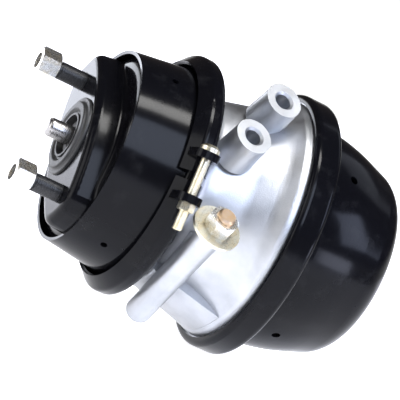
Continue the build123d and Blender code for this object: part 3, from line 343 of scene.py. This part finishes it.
class ChamberLook(bpy.types.PropertyGroup):
    """Colours and roughness of the finishes."""

    paint_colour: bpy.props.FloatVectorProperty(
        name="Paint", description="Colour of the black enamel", subtype="COLOR", default=(0.003, 0.003, 0.004)
    )
    paint_roughness: bpy.props.FloatProperty(
        name="Paint roughness", description="Roughness of the enamel", subtype="FACTOR", default=0.15
    )
    casting_colour: bpy.props.FloatVectorProperty(
        name="Casting", description="Colour of the casting", subtype="COLOR", default=(0.5, 0.51, 0.53)
    )
    casting_roughness: bpy.props.FloatProperty(
        name="Casting roughness", description="Roughness of the casting", subtype="FACTOR", default=0.42
    )
    zinc_colour: bpy.props.FloatVectorProperty(
        name="Yellow zinc", description="Colour of the clamp hardware",
        subtype="COLOR", default=(0.72, 0.69, 0.57)
    )
    bright_zinc_colour: bpy.props.FloatVectorProperty(
        name="Bright zinc", description="Colour of the stud nuts", subtype="COLOR", default=(0.76, 0.76, 0.75)
    )
    copper_colour: bpy.props.FloatVectorProperty(
        name="Release bolt", description="Colour of the release bolt",
        subtype="COLOR", default=(0.62, 0.47, 0.34)
    )


class ChamberThreads(bpy.types.PropertyGroup):
    """Sizes of the screw threads."""

    stud_pitch: bpy.props.FloatProperty(
        name="Stud pitch", description="Pitch of the stud threads", unit="LENGTH", default=0.002, min=0.0005
    )
    clamp_pitch: bpy.props.FloatProperty(
        name="Clamp bolt pitch", description="Pitch on the clamp bolts",
        unit="LENGTH", default=0.00125, min=0.0005
    )
    release_pitch: bpy.props.FloatProperty(
        name="Release pitch", description="Pitch on the release bolt",
        unit="LENGTH", default=0.0023, min=0.0005
    )
    depth: bpy.props.FloatProperty(
        name="Depth", description="How far the ridge stands off the shaft",
        unit="LENGTH", default=0.0003, min=0.0001
    )


class ChamberStage(bpy.types.PropertyGroup):
    """Where the camera stands and how strong the lights are."""

    azimuth: bpy.props.FloatProperty(
        name="Azimuth", description="Camera's direction round the chamber",
        subtype="ANGLE", default=math.radians(-20)
    )
    elevation: bpy.props.FloatProperty(
        name="Elevation", description="Camera's height as an angle", subtype="ANGLE", default=math.radians(4)
    )
    roll: bpy.props.FloatProperty(
        name="Roll", description="Turn of the camera about its view",
        subtype="ANGLE", default=math.radians(26.7)
    )
    distance: bpy.props.FloatProperty(
        name="Distance", description="Camera to the chamber's middle", unit="LENGTH", default=2.5, min=0.1
    )
    focal_pixels: bpy.props.FloatProperty(
        name="Focal length", description="In pixels of a picture 400 wide", default=2887.5, min=1
    )
    offset: bpy.props.FloatVectorProperty(
        name="Offset", description="Camera's offset across its view",
        size=2, unit="LENGTH", default=(0.04245, -0.02231)
    )
    light: bpy.props.FloatProperty(name="Light", description="Strength of the studio lights", default=1.0)


def around(angle, distance=1.0):
    """The point at a distance from the chamber's axis, at an angle from +Z towards -Y."""
    return Vector((0, -math.sin(angle), math.cos(angle))) * distance


def shaft_place(x, angle, distance, along):
    """A frame with its z along a shaft that lies across the axis, at a place along it."""
    direction = around(angle - math.pi / 2)
    origin = Vector((x, 0, 0)) + around(angle, distance) + direction * along
    return Matrix.Translation(origin) @ direction.to_track_quat("Z", "X").to_matrix().to_4x4()


def ridge_winder():
    """A node group that winds the ridge of a thread about z, from the shaft's sizes."""
    group = bpy.data.node_groups.new("thread_ridge", "GeometryNodeTree")
    for name in ("Radius", "Pitch", "Length", "Depth"):
        group.interface.new_socket(name, in_out="INPUT", socket_type="NodeSocketFloat")
    group.interface.new_socket("Material", in_out="INPUT", socket_type="NodeSocketMaterial")
    group.interface.new_socket("Geometry", in_out="OUTPUT", socket_type="NodeSocketGeometry")
    nodes, links = group.nodes, group.links
    given = nodes.new("NodeGroupInput").outputs

    def sums(operation, first, second):
        made = nodes.new("ShaderNodeMath")
        made.operation = operation
        for socket, value in zip(made.inputs, (first, second)):
            if isinstance(value, bpy.types.NodeSocket):
                links.new(value, socket)
            else:
                socket.default_value = value
        return made.outputs[0]

    section = sums("MULTIPLY", given["Pitch"], RIDGE_SHARE)
    centre = sums("SUBTRACT", sums("ADD", given["Radius"], given["Depth"]), section)
    helix = nodes.new("GeometryNodeCurveSpiral")
    helix.inputs["Resolution"].default_value = RIDGE_STEPS
    links.new(sums("DIVIDE", given["Length"], given["Pitch"]), helix.inputs["Rotations"])
    links.new(centre, helix.inputs["Start Radius"])
    links.new(centre, helix.inputs["End Radius"])
    links.new(given["Length"], helix.inputs["Height"])
    outline = nodes.new("GeometryNodeCurvePrimitiveCircle")
    outline.inputs["Resolution"].default_value = RIDGE_SIDES
    links.new(section, outline.inputs["Radius"])
    ridge = nodes.new("GeometryNodeCurveToMesh")
    ridge.inputs["Fill Caps"].default_value = True
    links.new(helix.outputs[0], ridge.inputs["Curve"])
    links.new(outline.outputs[0], ridge.inputs["Profile Curve"])
    real = nodes.new("GeometryNodeRealizeInstances")
    links.new(ridge.outputs[0], real.inputs[0])
    dress = nodes.new("GeometryNodeSetMaterial")
    links.new(real.outputs[0], dress.inputs["Geometry"])
    links.new(given["Material"], dress.inputs["Material"])
    links.new(dress.outputs[0], nodes.new("NodeGroupOutput").inputs[0])
    return group


def wind_threads(name, group, material, body, shafts, pitch, depth):
    """One plain mesh with the thread of each shaft, given as its frame, radius and length."""
    gathered = bmesh.new()
    sockets = {item.name: item.identifier for item in group.interface.items_tree if item.in_out == "INPUT"}
    for place, radius, length in shafts:
        carrier = bpy.data.objects.new(name, bpy.data.meshes.new(name))
        bpy.context.scene.collection.objects.link(carrier)
        winder = carrier.modifiers.new("thread", "NODES")
        winder.node_group = group
        sizes = {"Radius": radius, "Pitch": pitch, "Length": length, "Depth": depth, "Material": material}
        for key, value in sizes.items():
            winder[sockets[key]] = value
        ready = carrier.evaluated_get(bpy.context.evaluated_depsgraph_get())
        mesh = bpy.data.meshes.new_from_object(ready)
        mesh.transform(place)
        gathered.from_mesh(mesh)
        bpy.data.objects.remove(carrier)
        bpy.data.meshes.remove(mesh)
    mesh = bpy.data.meshes.new(name)
    gathered.to_mesh(mesh)
    gathered.free()
    mesh.materials.clear()
    mesh.materials.append(material)
    thread = bpy.data.objects.new(name, mesh)
    bpy.context.scene.collection.objects.link(thread)
    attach(thread, body)


class CHAMBER_OT_paint(bpy.types.Operator):
    """Black enamel on the housings, the clamp and the ring"""

    bl_idname = "chamber.paint"
    bl_label = "Paint the housings"

    def execute(self, context):
        wear(BLACK_PAINTED, gloss_paint(context.scene.chamber_look))
        return {"FINISHED"}


class CHAMBER_OT_casting(bpy.types.Operator):
    """Bare aluminium on the adapter casting and the inner plates"""

    bl_idname = "chamber.casting"
    bl_label = "Finish the casting"

    def execute(self, context):
        wear(CAST, cast_metal(context.scene.chamber_look))
        return {"FINISHED"}


class CHAMBER_OT_hardware(bpy.types.Operator):
    """Zinc on nuts, bolts and washers, black on the studs and bare steel on the rods"""

    bl_idname = "chamber.hardware"
    bl_label = "Finish the hardware"

    def execute(self, context):
        look = context.scene.chamber_look
        wear(YELLOW_ZINC, plated("yellow_zinc", tuple(look.zinc_colour), 0.3))
        wear(BRIGHT_ZINC, plated("bright_zinc", tuple(look.bright_zinc_colour), 0.26))
        wear(("release_bolt",), plated("release_zinc", tuple(look.copper_colour), 0.35))
        wear(BLACK_OXIDE, dark_steel("black_oxide", (0.012, 0.012, 0.013), 0.3))
        wear(BRIGHT_STEEL, turned_steel())
        wear(SPRINGS, dark_steel("spring_paint", (0.02, 0.02, 0.022), 0.35))
        return {"FINISHED"}


class CHAMBER_OT_threads(bpy.types.Operator):
    """Thread ridges on the studs, the clamp bolts and the release bolt"""

    bl_idname = "chamber.threads"
    bl_label = "Wind the threads"

    def execute(self, context):
        sizes = context.scene.chamber_threads
        group = ridge_winder()
        turn = Vector((1, 0, 0)).to_track_quat("Z", "Y").to_matrix().to_4x4()
        studs = []
        for side in (1, -1):
            start = around(STUD_ANGLE, side * STUD_DISTANCE) + Vector((STUD_THREAD[0], 0, 0))
            studs.append((Matrix.Translation(start) @ turn, STUD_RADIUS, STUD_THREAD[1]))
        bolts = [
            (shaft_place(CLAMP_BOLT_X, angle, CLAMP_BOLT_DISTANCE, along), CLAMP_BOLT_RADIUS, length)
            for angle in (CLAMP_ANGLE, CLAMP_ANGLE + math.pi)
            for along, length in CLAMP_BOLT_THREADS
        ]
        release = [
            (shaft_place(POCKET_X, POCKET_ANGLE, POCKET_DISTANCE, along), RELEASE_RADIUS, length)
            for along, length in RELEASE_THREADS
        ]
        for name, finish, body, slot, shafts, pitch in (
            ("stud_threads", "black_oxide", "chamber", "black_steel", studs, sizes.stud_pitch),
            ("clamp_bolt_threads", "yellow_zinc", "chamber", "zinc", bolts, sizes.clamp_pitch),
            ("release_threads", "release_zinc", "release_tool", "zinc", release, sizes.release_pitch),
        ):
            wind_threads(name, group, bpy.data.materials[finish], body, shafts, pitch, sizes.depth)
        return {"FINISHED"}


class CHAMBER_OT_soft(bpy.types.Operator):
    """Rubber on the boot, diaphragms and seals, and plastic on the plug and bush"""

    bl_idname = "chamber.soft"
    bl_label = "Finish rubber and plastic"

    def execute(self, context):
        wear(SOFT_BLACK, rubber("moulded_rubber", 0.5))
        wear(("dust_plug",), plain_plastic("plug_plastic", (0.015, 0.015, 0.015)))
        wear(("centre_bush",), plain_plastic("bush_plastic", (0.35, 0.3, 0.2)))
        return {"FINISHED"}


class CHAMBER_OT_soft_motion(bpy.types.Operator):
    """Springs and diaphragms copied as plain meshes in place of the CAD pieces, which are hidden"""

    bl_idname = "chamber.soft_motion"
    bl_label = "Let springs and diaphragms follow"

    def execute(self, context):
        for name, slot, front, rear, start, end in SOFT_PIECES:
            piece = bpy.data.objects.new(name + "_moving", NODES[name].data.copy())
            context.scene.collection.objects.link(piece)
            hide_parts(name)
            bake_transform(piece)
        return {"FINISHED"}


class CHAMBER_OT_stage(bpy.types.Operator):
    """Pale floor, soft studio lights and the camera of the photograph"""

    bl_idname = "chamber.stage"
    bl_label = "Set the stage"

    def execute(self, context):
        stage = context.scene.chamber_stage
        self.floor()
        self.world(context.scene)
        for name, place, size, power, colour in SOFTBOXES:
            self.softbox(context.scene, name, Vector(place), size, power * stage.light, colour)
        self.camera(context.scene, stage)
        return {"FINISHED"}

    def floor(self):
        """A pale plane that is dark in front of the camera and glows behind the chamber."""
        half = FLOOR_HALF
        low = CAD_BOX[0][2] - FLOOR_GAP
        corners = [(-half, -half, low), (half, -half, low), (half, half, low), (-half, half, low)]
        mesh = bpy.data.meshes.new("floor")
        mesh.from_pydata(corners, [], [(0, 1, 2, 3)])
        plane = bpy.data.objects.new("floor", mesh)
        bpy.context.scene.collection.objects.link(plane)
        shop = PaintShop("floor")
        tone = shop.remap(shop.noise(3.0, 2.0), 0.3, 0.7, 0.0, 1.0)
        across = shop.number("ShaderNodeSeparateXYZ", None, {0: shop.place}, "Y")
        lit = shop.remap(across, -1.0, -0.6, 0.0, 1.0)
        far = shop.remap(across, 0.1, 0.6, 0.0, 1.0)
        near = shop.blend(lit, (0.04, 0.04, 0.045), (0.44, 0.44, 0.455))
        mesh.materials.append(
            shop.finish(
                {
                    "Base Color": shop.blend(tone, (0.86, 0.86, 0.88), (0.88, 0.88, 0.9)),
                    "Roughness": 0.7,
                    "Emission Color": shop.blend(far, near, (0.9, 0.91, 1.0)),
                    "Emission Strength": 2.3,
                }
            )
        )

    def world(self, scene):
        """A backdrop that is white at the horizon behind the chamber and dark above and in front."""
        world = bpy.data.worlds.new("studio")
        scene.world = world
        scene.view_settings.view_transform = "Standard"
        world.use_nodes = True
        nodes, links = world.node_tree.nodes, world.node_tree.links
        height = nodes.new("ShaderNodeSeparateXYZ")
        links.new(nodes.new("ShaderNodeTexCoord").outputs["Generated"], height.inputs[0])
        ramp = nodes.new("ShaderNodeValToRGB")
        stops = ((0, (1, 1, 1)), (0.09, (1, 1, 1)), (0.22, (0.06, 0.05, 0.046)), (1, (0.015, 0.014, 0.015)))
        while len(ramp.color_ramp.elements) < len(stops):
            ramp.color_ramp.elements.new(0.5)
        for stop, (where, colour) in zip(ramp.color_ramp.elements, stops):
            stop.position = where
            stop.color = (*colour, 1)
        links.new(height.outputs["Z"], ramp.inputs[0])
        behind = nodes.new("ShaderNodeMapRange")
        for end, value in (("From Min", -0.6), ("From Max", 0.1), ("To Min", 0.12), ("To Max", 1.0)):
            behind.inputs[end].default_value = value
        links.new(height.outputs["Y"], behind.inputs[0])
        shade = nodes.new("ShaderNodeVectorMath")
        shade.operation = "SCALE"
        links.new(ramp.outputs[0], shade.inputs[0])
        links.new(behind.outputs[0], shade.inputs["Scale"])
        links.new(shade.outputs[0], nodes["Background"].inputs[0])
        nodes["Background"].inputs[1].default_value = 1.05

    def softbox(self, scene, name, place, size, power, colour):
        light = bpy.data.lights.new(name, "AREA")
        light.shape = "RECTANGLE"
        light.size, light.size_y = size
        light.energy = power
        light.color = colour
        lamp = bpy.data.objects.new(name, light)
        lamp.location = place
        lamp.rotation_euler = (LIGHT_TARGET - place).to_track_quat("-Z", "Y").to_euler()
        scene.collection.objects.link(lamp)

    def camera(self, scene, stage):
        """The photograph's view, from the stage's angles and distance."""
        a, e = stage.azimuth, stage.elevation
        back = Vector((math.sin(a) * math.cos(e), -math.cos(a) * math.cos(e), math.sin(e)))
        side = (-back).cross(Vector((0, 0, 1))).normalized()
        up = side.cross(-back)
        c, s = math.cos(stage.roll), math.sin(stage.roll)
        right, top = c * side + s * up, c * up - s * side
        data = bpy.data.cameras.new("camera")
        data.sensor_width = SENSOR_WIDTH
        data.lens = stage.focal_pixels / PICTURE_WIDTH * SENSOR_WIDTH
        data.clip_start, data.clip_end = 0.05, 20
        camera = bpy.data.objects.new("camera", data)
        place = CAMERA_TARGET + right * stage.offset[0] + top * stage.offset[1] + back * stage.distance
        turn = Matrix((right, top, back)).transposed().to_4x4()
        camera.matrix_world = Matrix.Translation(place) @ turn
        scene.collection.objects.link(camera)
        scene.camera = camera


OPERATORS = (
    CHAMBER_OT_paint,
    CHAMBER_OT_casting,
    CHAMBER_OT_hardware,
    CHAMBER_OT_threads,
    CHAMBER_OT_soft,
    CHAMBER_OT_soft_motion,
    CHAMBER_OT_stage,
)


class CHAMBER_PT_panel(bpy.types.Panel):
    """Buttons for each group of the chamber's finishes"""

    bl_idname = "CHAMBER_PT_panel"
    bl_label = "Brake chamber"
    bl_space_type = "VIEW_3D"
    bl_region_type = "UI"
    bl_category = "Chamber"

    def draw(self, context):
        for operator in OPERATORS:
            self.layout.operator(operator.bl_idname)


GROUPS = (ChamberLook, ChamberThreads, ChamberStage)
CLASSES = (*GROUPS, *OPERATORS, CHAMBER_PT_panel)


def register():
    for made in CLASSES:
        bpy.utils.register_class(made)
    bpy.types.Scene.chamber_look = bpy.props.PointerProperty(type=ChamberLook)
    bpy.types.Scene.chamber_threads = bpy.props.PointerProperty(type=ChamberThreads)
    bpy.types.Scene.chamber_stage = bpy.props.PointerProperty(type=ChamberStage)


def unregister():
    del bpy.types.Scene.chamber_stage
    del bpy.types.Scene.chamber_threads
    del bpy.types.Scene.chamber_look
    for made in reversed(CLASSES):
        bpy.utils.unregister_class(made)


def main():
    register()
    for operator in OPERATORS:
        group, action = operator.bl_idname.split(".")
        getattr(getattr(bpy.ops, group), action)()


if __name__ == "__main__":
    main()
